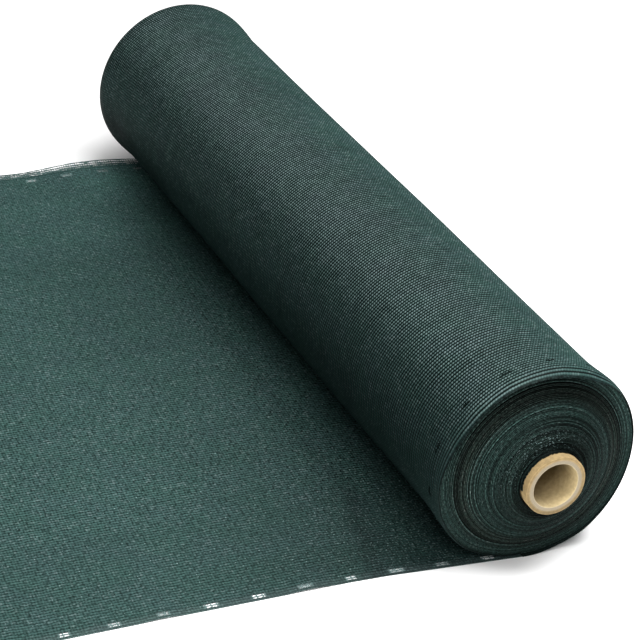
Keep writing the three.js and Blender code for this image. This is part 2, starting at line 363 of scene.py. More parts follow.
def inner_turns(sizes):
    """All further turns down to the core, as one cloth wound in a spiral.

    The radius falls by one turn a turn, and the air between turns varies. Between the rims, where they are
    hidden, the turns lie a little tighter. Gives points, cloth places, turns wound and shares of the radius.
    """
    radius, turn = sizes.roll_radius, sizes.turn
    across = np.array([0, EDGE_ROUNDING / 4, EDGE_ROUNDING, 0.06, 0.94, WIDTH - EDGE_ROUNDING, WIDTH])
    depth = np.array([*ROUNDED, 0, 0, 0, 0, 0.5])
    across = np.concatenate([across, across[5:1:-1], across[:1]])
    depth = np.concatenate([depth, 1 - depth[5:1:-1], 1 - depth[:1]])
    count = FIRST_END - 1
    wound = (1 + np.linspace(0, count, int(count * INNER_STATIONS)))[:, None]
    angle = math.tau * wound - math.pi / 2
    air = 0.14 + smooth(wound, 2, 14) * (0.06 + 0.12 * wander(wound, 0.617, 3) + 0.1 * wander(wound, 1.19, 4))
    thickness = turn * (1 - np.maximum(air, 0.04)) * depth
    plain = radius - turn * wound
    y = turn_edges(wound, across, np.interp(plain, SLIDE_RADIUS, SLIDE_AHEAD))
    follows = smooth(plain, 0.7 * radius, radius)
    out = plain - thickness + follows * rise(np.clip(y, 0, WIDTH), angle)
    hidden = 1 - smooth(np.abs(across - WIDTH / 2), 0.43, 0.48)
    out = CORE_RADIUS + (out - CORE_RADIUS) * (1 - 0.035 * hidden)
    lifted = 0.6 * MM * np.exp(-wound / 8) * (1 - smooth(np.sin(angle), -1, -0.99))
    z = AXIS_Z + out * np.sin(angle) + lifted
    points = np.stack([out * np.cos(angle), y, z], axis=-1)
    length = math.tau * (radius * wound - turn * wound * wound / 2)
    uv = np.stack([length + 0 * y, across + 0 * wound], axis=-1)
    return points, uv, wound + 0 * y, plain / radius + 0 * y


def core_shape(sizes):
    """The core as a section carried round its axis: bore, near cut end, side and far cut end, rounded.

    The near mouth is worn back by the positive part of a sum of two sines of the angle, which fades out
    inwards.
    """
    bore, outer, soft = sizes.bore_radius, CORE_RADIUS, CORE_SOFT
    near, far = CORE_LOW.y, CORE_HIGH.y
    section = [(bore, near + soft), (bore + 0.3 * soft, near + 0.3 * soft)]
    section += [(ring, near) for ring in np.linspace(bore + soft, outer - soft, 12)]
    section += [(outer - 0.3 * soft, near + 0.3 * soft), (outer, near + soft)]
    section += [(outer, near + MOUTH), (outer, near + 2 * MOUTH), (outer, far - MOUTH), (outer, far - soft)]
    section += [(outer - soft, far), (bore + soft, far), (bore, far - soft)]
    section += [(bore, near + 3 * MOUTH), (bore, near + MOUTH)]
    r, y = np.array(section).T[:, None]
    angle = np.linspace(0, math.tau, 193)[:-1, None]
    waves = 0.4 * np.sin(2 * angle + 0.7) + 0.25 * np.sin(5 * angle + 2)
    wear_and_painted_shade = (1 - smooth(y - near, 0, MOUTH)) * MM * np.maximum(waves, 0)
    return np.stack([AXIS_X + r * np.cos(angle), y + wear_and_painted_shade, AXIS_Z + r * np.sin(angle)], axis=-1)


# Tones of the cloth by place, with painted light and shade, for a colour attribute


def painted_crease_shade(x, y):
    """Painted shade of a soft crease near the front edge: a bell across a gently waving line,
    faded out inwards.
    """
    line = -0.126 - 0.28 * np.maximum(0.142 - y, 0) + 0.004 * np.sin(45 * y) + 0.003 * np.sin(110 * y)
    depth = bell(x, line, 11 * MM) * (0.27 - 0.2 * smooth(y, 0.13, 0.19))
    return depth * (1 - smooth(y, 0.5, 0.7))


def sheet_painted_light_and_shade(x, y, across):
    """Painted light and shade over the unrolled length: painted shade beside the roll,
    and painted light in the crevice and by the near edge.
    """
    far_half = smooth(y, 0.7, 0.87)
    crevice = smooth(x, -0.13, -0.085) * (0.5 + 0.5 * smooth(y, 0, 0.06))
    far_crevice = smooth(y, 0.85, 0.96) * smooth(x, -0.18, -0.09)
    near_cut = (1 - smooth(across, 0, 0.35)) * (1 - smooth(x, -0.5, -0.25))
    shade = 1 - 0.3 * smooth(x, -0.38, -0.17) * (1 - far_half) + 0.5 * crevice + 1.2 * far_crevice
    shade = shade * (1 - painted_crease_shade(x, y))
    shade = shade + 0.12 * near_cut
    return 1.06 * shade * (1 + 0.07 * smooth(y, 0.62, 0.76))


def loose_crispness(x, y):
    """How crisp the unrolled length's knit is: more before its middle and beside the roll, less far off."""
    before_middle = smooth(y, 0.12, 0.19) * smooth(y, 0.52, 0.36)
    beside_roll = smooth(x, -0.17, -0.13) * smooth(y, 0.12, 0.19) * smooth(y, 0.72, 0.6)
    return 0.33 * before_middle - 0.24 * smooth(y, 0.62, 0.76) + 0.35 * beside_roll


def turn_crispness(angle, y):
    """How much crisper the roll's knit is on its upper left, and how much softer low on its left flank.

    The angle is in degrees: 0 on the roll's right, 90 on its top and 180 over the unrolled length.
    """
    crisper = 0.42 * bell(angle, 125, 22) * smooth(y, 0.15, 0.3) * smooth(y, 0.9, 0.78)
    softer = 0.45 * smooth(angle, 134, 165) * smooth(y, 0.62, 0.45)
    softer = softer + 0.4 * smooth(angle, 165, 182) * smooth(y, 0.45, 0.62)
    return crisper, softer


def roll_tone_and_painted_light(angle, y):
    """Tone and painted light of the outermost turn, by degrees round the roll and by place along it.

    Painted light makes it lighter on top, painted shade darker on the left flank but less so towards its
    far end, and it evens out what a crisper or softer knit changes.
    """
    top, flank = smooth(angle, 105, 78), smooth(angle, 145, 190)
    near_end = (1 - smooth(y, 0.12, 0.3)) * smooth(angle, 150, 125)
    far_end = 0.65 * smooth(y, 0.2, 0.65) + 0.45 * smooth(y, 0.72, 0.9)
    far_foot = smooth(y, 0.72, 0.82) * smooth(angle, 185, 200)
    near_band = bell(angle, 150, 12) * (1 - smooth(y, 0.45, 0.6))
    crisper, softer = turn_crispness(angle, y)
    shade = 0.58 + 0.13 * top - 0.13 * flank
    shade = shade * (1 + 0.12 * near_end)
    shade = shade * (1 + far_end * (1 - 0.9 * far_foot) * smooth(angle, 150, 176))
    shade = shade * (1 - 0.1 * near_band)
    return shade * (1 - 0.4 * crisper + 0.45 * softer)


def end_face_tone_and_painted_light(wound, share):
    """Tone of the wound turns' edges: the table's tones, streaked from turn to turn, with painted light
    round the end face.

    Turns differ alone and in groups, a few are pale or dark, and painted light lightens the outer ones' top.
    """
    angle = math.tau * wound - math.pi / 2
    calm = 0.6 + 0.4 * smooth(share, 0.95, 0.86)
    streak = 0.75 * wander(wound, 0.283, 11) + 0.45 * wander(wound, 1.13, 12)
    streak = streak + 0.25 * wander(wound, 3.7, 13)
    grouped = np.sin(math.tau * wound / 3.1 + 1.5 * wander(wound, 5, 16))
    streak = streak + 0.7 * smooth(share, 0.88, 0.93) * (grouped - 0.35)
    pale = calm * smooth(wander(wound, 0.41, 14), 0.6, 0.95)
    dark = smooth(wander(wound, 0.71, 15), 0.5, 0.9)
    light = 1.1 * np.interp(share, TONE_SHARE, TONE_LIGHT) * np.exp(calm * (streak - 0.9 * dark))
    # Painted light round the end face, most on its left, and painted light on the outer turns' top
    light = light * (0.88 + 0.44 * np.cos(angle - math.radians(163)) + 0.2 * np.cos(2 * angle))
    light = light * (1 + 0.9 * smooth(share, 0.84, 0.93) * smooth(np.sin(angle + 0.3), 0.2, 0.9))
    brown = np.interp(share, TONE_SHARE, TONE_BROWN)
    warmth = brown[..., None] * np.array([0.3, 0, -0.05]) + pale[..., None] * np.array([1.3, 1.1, 1.1])
    return light[..., None] * (warmth + [1.05, 1, 0.96])


def turns_fuzz(wound, share):
    """Where frayed threads show: round the core, on the end face's upper left."""
    upper_left = smooth(np.cos(math.tau * wound - math.pi / 2 - 2.1), 0, 0.8)
    return smooth(share, 0.54, 0.46) * smooth(share, 0.31, 0.36) * upper_left


# Meshes


def carried(points, loop_uv, name):
    """Closed mesh of a section carried along a path.

    points is stations x section x 3. The section runs from the near selvedge along one skin and back along
    the other, and one face closes each end. loop_uv is stations x section x 2.
    """
    stations, around = points.shape[:2]
    index = np.arange(stations * around).reshape(stations, around)
    after = np.roll(index, -1, axis=1)
    side = np.stack([index[:-1], after[:-1], after[1:], index[1:]], axis=-1).reshape(-1, 4)
    corners = np.concatenate([side.reshape(-1), index[0, ::-1], index[-1]])
    starts = np.concatenate([np.arange(0, side.size, 4), [side.size, side.size + around]])
    mesh = bpy.data.meshes.new(name)
    mesh.vertices.add(stations * around)
    mesh.vertices.foreach_set("co", points.reshape(-1).astype(np.float32))
    mesh.loops.add(len(corners))
    mesh.loops.foreach_set("vertex_index", corners.astype(np.int32))
    mesh.polygons.add(len(starts))
    mesh.polygons.foreach_set("loop_start", starts.astype(np.int32))
    uv = mesh.uv_layers.new(name="cloth")
    uv.data.foreach_set("uv", loop_uv.reshape(-1, 2)[corners].reshape(-1).astype(np.float32))
    mesh.update(calc_edges=True)
    mesh.validate()
    mesh.shade_smooth()
    return mesh


def ring_mesh(points, name):
    """Closed mesh of a closed section (second index) carried all the way round (first index)."""
    stations, around = points.shape[:2]
    index = np.arange(stations * around).reshape(stations, around)
    after, ahead = np.roll(index, -1, axis=1), np.roll(index, -1, axis=0)
    corner = np.roll(after, -1, axis=0)
    faces = np.stack([index, ahead, corner, after], axis=-1).reshape(-1, 4)
    mesh = bpy.data.meshes.new(name)
    mesh.from_pydata(points.reshape(-1, 3).tolist(), [], faces.tolist())
    mesh.validate()
    mesh.shade_smooth()
    return mesh


def number_attribute(mesh, name, values):
    """A number for each vertex."""
    layer = mesh.attributes.new(name, "FLOAT", "POINT")
    layer.data.foreach_set("value", np.asarray(values, dtype=np.float32).reshape(-1))


def colour_attribute(mesh, name, values):
    """A colour for each vertex, or one number for a grey."""
    layer = mesh.attributes.new(name, "FLOAT_COLOR", "POINT")
    rgba = np.ones((len(mesh.vertices), 4), dtype=np.float32)
    rgba[:, :3] = values.reshape(len(mesh.vertices), -1)
    layer.data.foreach_set("color", rgba.reshape(-1))


def shown(name, mesh, material):
    """Adds a mesh to the scene with its material."""
    mesh.materials.append(material)
    obj = bpy.data.objects.new(name, mesh)
    bpy.context.scene.collection.objects.link(obj)
    return obj


# Materials


def toned(colour, by=1.0):
    """A colour made so many times as light."""
    return (*[by * c for c in colour], 1)


class Wiring:
    """Builds one material's nodes."""

    def __init__(self, name):
        self.material = bpy.data.materials.new(name)
        self.material.use_nodes = True
        self.tree = self.material.node_tree
        self.shader = next(n for n in self.tree.nodes if n.type == "BSDF_PRINCIPLED")

    def node(self, kind, **settings):
        """A new node with its settings."""
        node = self.tree.nodes.new(kind)
        for key, value in settings.items():
            setattr(node, key, value)
        return node

    def feed(self, socket, value):
        """Links a node's output to a socket, or sets the socket to a plain value."""
        if isinstance(value, bpy.types.NodeSocket):
            self.tree.links.new(value, socket)
        else:
            socket.default_value = value

    def calc(self, operation, *values, clamp=False):
        """One step of arithmetic."""
        node = self.node("ShaderNodeMath", operation=operation, use_clamp=clamp)
        for socket, value in zip(node.inputs, values):
            self.feed(socket, value)
        return node.outputs[0]

    def times(self, value, by):
        """value * by."""
        return self.calc("MULTIPLY", value, by)

    def line(self, value, by, plus):
        """value * by + plus."""
        return self.calc("MULTIPLY_ADD", value, by, plus)

    def rest(self, share):
        """1 - share."""
        return self.calc("SUBTRACT", 1.0, share)

    def ramp(self, value, low, high):
        """0 up to low, 1 from high on, smooth between."""
        node = self.node("ShaderNodeMapRange", interpolation_type="SMOOTHSTEP")
        self.feed(node.inputs[0], value)
        self.feed(node.inputs[1], low)
        self.feed(node.inputs[2], high)
        return node.outputs[0]

    def wave(self, turns):
        """(1 + cos) / 2 of a number of whole turns."""
        cosine = self.calc("COSINE", self.times(turns, math.tau))
        return self.line(cosine, 0.5, 0.5)

    def between(self, share, low, high):
        """Number between two."""
        node = self.node("ShaderNodeMix", data_type="FLOAT")
        self.feed(node.inputs[0], share)
        self.feed(node.inputs[2], low)
        self.feed(node.inputs[3], high)
        return node.outputs[0]

    def mix(self, share, low, high):
        """Colour between two."""
        node = self.node("ShaderNodeMix", data_type="RGBA")
        self.feed(node.inputs[0], share)
        self.feed(node.inputs[6], low)
        self.feed(node.inputs[7], high)
        return node.outputs[2]

    def tint(self, colour, by):
        """Colour times colour."""
        node = self.node("ShaderNodeMix", data_type="RGBA", blend_type="MULTIPLY")
        node.inputs[0].default_value = 1
        self.feed(node.inputs[6], colour)
        self.feed(node.inputs[7], by)
        return node.outputs[2]

    def shaded(self, colour, by):
        """Colour times a number."""
        return self.tint(colour, self.vector(by, by, by))

    def vector(self, x, y, z=0.0):
        """A vector of three numbers."""
        node = self.node("ShaderNodeCombineXYZ")
        for socket, value in zip(node.inputs, (x, y, z)):
            self.feed(socket, value)
        return node.outputs[0]

    def split(self, vector):
        """The three numbers of a vector."""
        node = self.node("ShaderNodeSeparateXYZ")
        self.feed(node.inputs[0], vector)
        return node.outputs

    def noise(self, vector, scale, detail):
        """Soft noise from 0 to 1."""
        node = self.node("ShaderNodeTexNoise")
        self.feed(node.inputs["Vector"], vector)
        node.inputs["Scale"].default_value = scale
        node.inputs["Detail"].default_value = detail
        return node.outputs[0]

    def chance(self, x, y):
        """A random number for each whole x and y."""
        cell = self.vector(self.calc("FLOOR", x), self.calc("FLOOR", y))
        node = self.node("ShaderNodeTexWhiteNoise", noise_dimensions="2D")
        self.feed(node.inputs[0], cell)
        return node.outputs[0]

    def bump(self, height, strength, distance):
        """Turns a height into the shader's bump."""
        node = self.node("ShaderNodeBump")
        node.inputs["Strength"].default_value = strength
        node.inputs["Distance"].default_value = distance
        self.feed(node.inputs["Height"], height)
        self.feed(self.shader.inputs["Normal"], node.outputs[0])

    def attribute(self, name, output="Fac"):
        """What the mesh holds at each vertex, a number or a colour."""
        return self.node("ShaderNodeAttribute", attribute_name=name).outputs[output]


class Knit:
    """Where a point lies in the knit.

    along and across are metres on the flat cloth, and inside is 1 on the unrolled length, where the cloth's
    inside shows. wale counts the pillars, bars and beads count the rows, and luck is each loop's own random
    number. front is 1 in the corner between the roll and the near edge.
    """

    def __init__(self, w, sizes):
        self.uv = w.node("ShaderNodeUVMap", uv_map="cloth").outputs[0]
        along, across, _ = w.split(self.uv)
        self.inside = inside = w.attribute("over_floor")
        drift = w.noise(w.vector(w.calc("ADD", along, 3.7), across), 9, 1.5)
        uneven = w.noise(w.vector(along, w.calc("ADD", across, 5.1)), 60, 1.0)
        uneven = w.times(uneven, w.line(inside, 0.45, 0.55))
        wale = w.line(across, 1 / sizes.wale_pitch, w.times(uneven, 0.5))
        pillar = w.calc("FLOOR", w.calc("ADD", wale, 0.5))
        outside_rate, inside_rate = 1 / sizes.course_pitch, 1 / LAID_PITCH
        rows = w.times(along, w.line(inside, inside_rate - outside_rate, outside_rate))
        rows = w.calc("ADD", w.times(drift, 1.2), w.line(uneven, 0.8, rows))
        self.along, self.across, self.wale = along, across, wale
        self.bars = w.line(wale, BAR_SLANT, rows)
        self.beads = w.line(pillar, -0.5, w.line(wale, BEAD_SLANT, rows))
        self.luck = w.chance(pillar, w.calc("ADD", self.beads, 0.5))
        self.front = w.times(w.ramp(along, 0.4, 0.6), w.ramp(across, 0.3, 0.1))

    def grain(self, w, along, across, detail):
        """Noise with so many grains to a metre along and across the cloth."""
        return w.noise(w.vector(w.times(self.along, along), w.times(self.across, across)), 1.0, detail)


def outside_height(w, knit):
    """The outside: beads stand out of a dark ground, and run into plain lines by the near selvedge."""
    lines = w.ramp(knit.across, 24 * MM, 8 * MM)
    beaded = w.line(w.wave(knit.beads), w.line(knit.luck, 0.4, 0.45), 0.5)
    beaded = w.calc("MAXIMUM", beaded, w.times(lines, 0.76))
    ground = w.line(lines, 0.1, 0.03)
    return w.line(w.calc("POWER", w.wave(knit.wale), 1.2), w.times(beaded, 1.05), ground)


def inside_height(w, knit):
    """The inside: lower bars join the pillars, and fibres break both up."""
    laid = w.line(w.wave(knit.wale), 0.42, w.line(w.wave(knit.bars), 0.22, 0.18))
    return w.times(laid, w.line(knit.grain(w, 260, 620, 2.0), 3.0, -0.5))


def seam_height(w, knit):
    """The close stitches along the very edges, and how far they take the knit's place."""
    near = w.ramp(knit.across, 3 * MM, 1 * MM)
    far = w.times(w.ramp(knit.across, WIDTH - 20 * MM, WIDTH - 14 * MM), knit.inside)
    lines = w.line(w.wave(w.times(knit.across, 1 / SEAM_PITCH)), 0.35, 0.3)
    stitches = w.times(knit.grain(w, 300, 700, 2.0), 2.0)
    return w.times(lines, stitches), w.calc("MAXIMUM", near, far)


def knit_height(w, knit):
    """How far the yarn stands up, from 0 in a hollow to about 1 on a crest."""
    seam, selvedge = seam_height(w, knit)
    face = w.between(knit.inside, outside_height(w, knit), inside_height(w, knit))
    height = w.calc("ADD", w.times(face, w.rest(selvedge)), w.times(seam, selvedge))
    crispness = w.calc("ADD", w.attribute("crisp"), 1.0)
    return w.line(w.calc("SUBTRACT", height, KNIT_MIDDLE), crispness, KNIT_MIDDLE)


def yarn_colour(w, knit, height, colours):
    """Yarn over dark hollows, with some loops and fibres that catch the light."""
    hollow = w.mix(knit.inside, toned(colours.hollow), toned(colours.hollow_over_floor))
    colour = w.mix(w.ramp(height, 0.05, 0.75), hollow, toned(colours.yarn))
    shine = w.times(w.calc("POWER", knit.luck, 5.0), w.ramp(height, 0.4, 0.9))
    colour = w.mix(w.times(shine, 0.8), colour, toned(colours.glint))
    gleam = w.times(w.ramp(height, 0.55, 1.05), w.attribute("gleam"))
    colour = w.mix(w.times(gleam, 0.72), colour, toned(colours.glint, 1.95))
    least = w.line(knit.front, -0.11, 0.79)
    spark = w.ramp(knit.grain(w, 420, 800, 0.0), least, w.calc("ADD", least, 0.05))
    colour = w.mix(w.times(spark, knit.inside), colour, toned(colours.glint, 2.2))
    # The fold along the near edge is greyer
    fold = w.times(w.ramp(knit.across, CURL_LOOSE + 14 * MM, CURL_LOOSE + 3 * MM), knit.inside)
    return w.mix(w.times(fold, 0.5), colour, toned(colours.glint, 1.05))


def cloth_shade(w, knit, height):
    """How light the cloth is: crests over hollows, faint bars of tone along it, a darker band by the fold,
    painted shade in the corner beside the roll, and a flecked edge.
    """
    barred = w.line(knit.grain(w, 2.5, 24, 3.0), 0.36, 0.82)
    shade = w.times(w.line(height, 1.1, 0.5), barred)
    band = w.ramp(knit.across, CURL_LOOSE + 15 * MM, CURL_LOOSE + 9 * MM)
    doubled = w.calc("SUBTRACT", band, w.calc("LESS_THAN", knit.across, CURL_LOOSE + 1.2 * MM))
    # Painted shade in the corner beside the roll, and a darker band by the fold
    wear_and_painted_shade = w.calc("MAXIMUM", w.times(doubled, 0.1), w.times(knit.front, 0.25))
    shade = w.times(shade, w.rest(w.times(wear_and_painted_shade, knit.inside)))
    edge = w.times(w.ramp(knit.across, 2.5 * MM, 1 * MM), 1.9)
    fleck = w.line(w.calc("SUBTRACT", knit.grain(w, 300, 300, 3.0), 0.5), edge, 1.0)
    return w.times(shade, w.calc("MAXIMUM", fleck, 0.1))


def buttonholes(w, knit, ragged, first, place, half_wound):
    """One row of buttonholes: blunt slots, each a little different, with threads along and across them.

    Gives how open the cloth is, and 1 around the slots. Only the skin that shows has the threads. Half a
    slot is half_wound wide on the roll, and SLOT_LOOSE on the unrolled length.
    """
    half_width = w.line(knit.inside, SLOT_LOOSE - half_wound, half_wound)
    cycles = w.line(knit.along, 1 / BUTTONHOLE_PITCH, 0.5 - first / BUTTONHOLE_PITCH)
    beside = w.calc("SUBTRACT", w.calc("FRACT", cycles), 0.5)
    length = w.times(w.calc("ABSOLUTE", beside), BUTTONHOLE_PITCH / BUTTONHOLE_HALF)
    longer = w.line(w.chance(cycles, place * 100), 0.35, 0.7)
    off = w.calc("DIVIDE", w.calc("ABSOLUTE", w.calc("SUBTRACT", knit.across, place)), half_width)
    reach = w.calc("MAXIMUM", w.calc("DIVIDE", length, longer), off)
    slot = w.calc("LESS_THAN", w.calc("ADD", reach, w.line(ragged, 1.0, -0.5)), 1.0)
    clear_along = w.calc("GREATER_THAN", off, 0.26)
    clear_across = w.calc("GREATER_THAN", w.calc("FRACT", w.times(knit.along, 1 / THREAD_PITCH)), 0.16)
    veil = w.line(w.chance(w.calc("ADD", cycles, 7.0), place * 100), 0.5, -0.12)
    veil = w.calc("MAXIMUM", veil, w.rest(knit.inside))
    veiled = w.times(w.times(clear_along, clear_across), w.calc("ADD", ragged, veil))
    opening = w.times(slot, w.calc("MAXIMUM", veiled, w.attribute("hidden"), clamp=True))
    return opening, w.ramp(reach, 1.3, 0.8)


def open_rows(w, knit, ragged):
    """The far selvedge's open rows on the unrolled length: how open they are, and where they run."""
    band = w.calc("GREATER_THAN", w.line(ragged, 5 * MM, knit.across), WIDTH - 11 * MM)
    rows = w.times(w.wave(w.times(knit.across, 1 / OPEN_ROW_PITCH)), 0.8)
    rows = w.calc("LESS_THAN", w.line(knit.grain(w, 90, 420, 1.0), 1.6, rows), 1.12)
    threads = w.calc("LESS_THAN", w.wave(knit.bars), w.line(ragged, 1.6, 0.1))
    bare = w.calc("MAXIMUM", w.times(rows, threads), w.attribute("hidden"))
    return w.times(w.times(band, bare), knit.inside), band


def openings(w, knit):
    """Where light passes through the cloth, and 1 around the unrolled length's openings."""
    ragged = knit.grain(w, 350, 350, 1.0)
    near, near_fringe = buttonholes(w, knit, ragged, NEAR_FIRST, ROW_INSET, SLOT_WOUND)
    far, far_fringe = buttonholes(w, knit, ragged, FAR_FIRST, WIDTH - ROW_INSET, SLOT_SHUT)
    rows, band = open_rows(w, knit, ragged)
    opening = w.calc("MAXIMUM", rows, w.calc("MAXIMUM", near, far))
    fringe = w.calc("MAXIMUM", w.calc("MAXIMUM", near_fringe, far_fringe), w.times(band, 0.5))
    return opening, w.times(fringe, knit.inside)


def netting_material(sizes, colours):
    """Knitted netting: pillars of loops along the cloth, with dark holes between them.

    The roll shows its outside, with a row of slanting beads on each pillar, and the unrolled length its
    inside, where laid-in bars run across the pillars.
    """
    w = Wiring("netting_finish")
    knit = Knit(w, sizes)
    height = knit_height(w, knit)
    colour = yarn_colour(w, knit, height, colours)
    colour = w.shaded(colour, cloth_shade(w, knit, height))
    greener = w.ramp(w.noise(knit.uv, 24, 2.0), 0.3, 0.7)
    colour = w.tint(colour, w.mix(greener, (1.03, 0.99, 1.015, 1), (0.975, 1.01, 0.975, 1)))
    # Each piece's tone by place, with painted light and shade over the roll and the unrolled length
    colour = w.tint(colour, w.attribute("tone_with_painted_shading", "Color"))
    frayed = w.times(w.ramp(knit.grain(w, 500, 900, 0.0), 0.66, 0.75), w.attribute("fuzz"))
    colour = w.mix(w.times(frayed, 0.85), colour, toned(colours.glint, 2.4))
    # Threads around and across the openings are pale with the light behind them
    opening, fringe = openings(w, knit)
    colour = w.mix(w.times(fringe, 0.35), colour, toned(colours.glint, 4.5))
    w.feed(w.shader.inputs["Base Color"], colour)
    w.feed(w.shader.inputs["Alpha"], w.rest(opening))
    w.shader.inputs["Roughness"].default_value = 0.55
    w.shader.inputs["Specular IOR Level"].default_value = 0.04
    w.bump(height, 0.5, 0.6 * MM)
    return w.material


class Tube:
    """Where a point lies in the core: x and z off its axis, its radius, and its depth inwards.

    grain and mottle are the paper's noise, and plies the waves of its uneven layers.
    """

    def __init__(self, w):
        place = w.node("ShaderNodeTexCoord").outputs["Object"]
        x, y, z = w.split(place)
        self.place = place
        self.x = w.calc("SUBTRACT", x, AXIS_X)
        self.z = w.calc("SUBTRACT", z, AXIS_Z)
        self.inwards = w.calc("SUBTRACT", y, CORE_LOW.y)
        squares = w.calc("ADD", w.times(self.x, self.x), w.times(self.z, self.z))
        self.radius = w.calc("SQRT", squares)
        self.grain = w.noise(place, 900, 3)
        self.mottle = w.ramp(w.noise(place, 260, 4), 0.3, 0.7)
        self.uneven = w.line(w.noise(place, 60, 2), 1.2 * MM, self.radius)
        self.plies = w.wave(w.times(self.uneven, 1 / PLY))


def cut_end_colour(w, tube, kraft, sizes, colours):
    """Pale layered board, with yellower outer plies, a dark glue line in them and a pale lip by the bore."""
    blend = w.line(tube.plies, 0.55, w.times(tube.grain, 0.5))
    colour = w.mix(blend, toned(colours.board, 0.6), toned(colours.board, 1.05))
    outer_plies = w.ramp(tube.uneven, CORE_RADIUS - 4.6 * MM, CORE_RADIUS - 2.4 * MM)
    foot_shade = w.line(tube.z, 0.22 / CORE_RADIUS, 0.84)
    colour = w.mix(outer_plies, colour, w.shaded(kraft, foot_shade))
    glue_from = w.ramp(tube.uneven, CORE_RADIUS - 1.9 * MM, CORE_RADIUS - 1.5 * MM)
    glue_to = w.ramp(tube.uneven, CORE_RADIUS - 1.4 * MM, CORE_RADIUS - 1.0 * MM)
    glue = w.calc("MULTIPLY", w.calc("SUBTRACT", glue_from, glue_to), 0.5, clamp=True)
    colour = w.mix(glue, colour, toned(colours.kraft, 0.35))
    lip = w.ramp(tube.radius, sizes.bore_radius + 1.1 * MM, sizes.bore_radius + 0.5 * MM)
    return w.mix(w.times(lip, 0.7), colour, toned(colours.board, 1.25))


def bore_colour(w, tube, sizes, colours):
    """Tan at the mouth and darkened to brown deep inside by painted shade, streaked between them,
    with painted shade deepening towards -X, and mottled.
    """
    streaky = w.line(w.noise(tube.place, 120, 3), 16 * MM, tube.inwards)
    colour = w.mix(w.ramp(streaky, 58 * MM, 2 * MM), toned(colours.bore_shade), toned(colours.bore))
    height_shade = w.line(tube.z, 0.02 / sizes.bore_radius, 1.07)
    colour = w.shaded(colour, w.line(tube.x, 0.3 / sizes.bore_radius, height_shade))
    return w.mix(tube.mottle, w.tint(colour, (0.9, 0.88, 0.85, 1)), w.tint(colour, (1.1, 1.1, 1.1, 1)))


def cardboard_material(sizes, colours):
    """Spiral wound cardboard: kraft on the side, layered board on the cut end, and the shaded bore."""
    w = Wiring("core_cardboard")
    tube = Tube(w)
    kraft = w.mix(tube.mottle, toned(colours.kraft, 0.85), toned(colours.kraft, 1.15))
    colour = cut_end_colour(w, tube, kraft, sizes, colours)
    on_side = w.ramp(tube.radius, CORE_RADIUS - 0.5 * MM, CORE_RADIUS - 0.15 * MM)
    side_shade = w.line(tube.z, -0.3 / CORE_RADIUS, 0.98)
    colour = w.mix(on_side, colour, w.shaded(kraft, side_shade))
    in_bore = w.ramp(tube.radius, sizes.bore_radius + 0.35 * MM, sizes.bore_radius + 0.1 * MM)
    colour = w.mix(in_bore, colour, bore_colour(w, tube, sizes, colours))
    w.feed(w.shader.inputs["Base Color"], colour)
    w.shader.inputs["Roughness"].default_value = 0.85
    w.bump(w.calc("ADD", tube.plies, tube.grain), 0.3, 0.2 * MM)
    return w.material


# Pieces and stage


def settings():
    """The sizes and colours in use."""
    return bpy.context.scene.netting_sizes, bpy.context.scene.netting_colours


def netting_finish():
    """The netting's one material, made when first asked for."""
    return bpy.data.materials.get("netting_finish") or netting_material(*settings())


def netting_piece(name, points, uv, stands_for):
    """Adds a piece of the cloth to the root body, and hides the solid that it stands for."""
    mesh = carried(points + ROLL_PLACE, uv, name)
    cloth = shown(name, mesh, netting_finish())
    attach(cloth, "root")
    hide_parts(stands_for)
    return mesh


def add_floor(colour):
    """A wide plain floor, a hair under the ground."""
    reach = FLOOR_REACH
    corners = [(-reach, -reach), (reach, -reach), (reach, reach), (-reach, reach)]
    mesh = bpy.data.meshes.new("floor")
    mesh.from_pydata([(x, y, -FLOOR_BELOW) for x, y in corners], [], [(0, 1, 2, 3)])
    w = Wiring("floor")
    w.shader.inputs["Base Color"].default_value = toned(colour)
    w.shader.inputs["Roughness"].default_value = 0.9
    shown("floor", mesh, w.material)


def add_world():
    """A faint white light from all sides."""
    world = bpy.data.worlds.new("studio")
    world.use_nodes = True
    background = world.node_tree.nodes["Background"]
    background.inputs[0].default_value = (1, 1, 1, 1)
    background.inputs[1].default_value = WORLD_LIGHT
    bpy.context.scene.world = world


def area_light(name, place, target, size, power):
    """A square soft light at a place, turned to a target."""
    data = bpy.data.lights.new(name, "AREA")
    data.size = size
    data.energy = power
    light = bpy.data.objects.new(name, data)
    light.location = place
    light.rotation_euler = (Vector(target) - Vector(place)).to_track_quat("-Z", "Y").to_euler()
    bpy.context.scene.collection.objects.link(light)


def camera_matrix():
    """Camera's matrix from its yaw off +Y, its pitch down and its roll about the view."""
    yaw, pitch, tilt = CAMERA_YAW, CAMERA_PITCH, CAMERA_ROLL
    ahead = Vector((math.sin(yaw) * math.cos(pitch), math.cos(yaw) * math.cos(pitch), -math.sin(pitch)))
    level = Vector((math.cos(yaw), -math.sin(yaw), 0))
    over = level.cross(ahead)
    right = math.cos(tilt) * level + math.sin(tilt) * over
    up = -math.sin(tilt) * level + math.cos(tilt) * over
    matrix = Matrix((right, up, -ahead)).transposed().to_4x4()
    matrix.translation = CAMERA_PLACE + Vector(ROLL_PLACE)
    return matrix


def add_camera():
    """The camera, at the photo's place and lens."""
    data = bpy.data.cameras.new("camera")
    data.sensor_width = SENSOR_WIDTH
    data.lens = LENS_PER_WIDTH * SENSOR_WIDTH
    camera = bpy.data.objects.new("camera", data)
    bpy.context.scene.collection.objects.link(camera)
    camera.matrix_world = camera_matrix()
    bpy.context.scene.camera = camera


